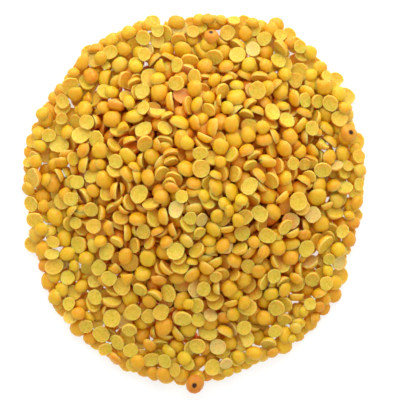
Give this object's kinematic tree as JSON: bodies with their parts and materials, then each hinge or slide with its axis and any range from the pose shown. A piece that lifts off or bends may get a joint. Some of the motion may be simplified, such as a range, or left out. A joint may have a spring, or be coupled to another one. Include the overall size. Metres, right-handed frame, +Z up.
{
  "type": "heap of dry split lentils",
  "caption": "Low free-standing heap of dry yellow split lentils, round and slightly egg-shaped in plan, with single grains showing all over and round its uneven edge.",
  "frame": {"origin": "on the surface the heap stands on, under the middle of its box", "axes": "+Z up, +Y along the heap's longer side in plan"},
  "size_m": [0.1078, 0.1188, 0.0212],
  "materials": {
    "split_lentil": "satin, golden yellow, with paler olive-yellow cut faces"
  },
  "bodies": {
    "root": {"lentil_heap": "split_lentil"}
  },
  "joints": []
}
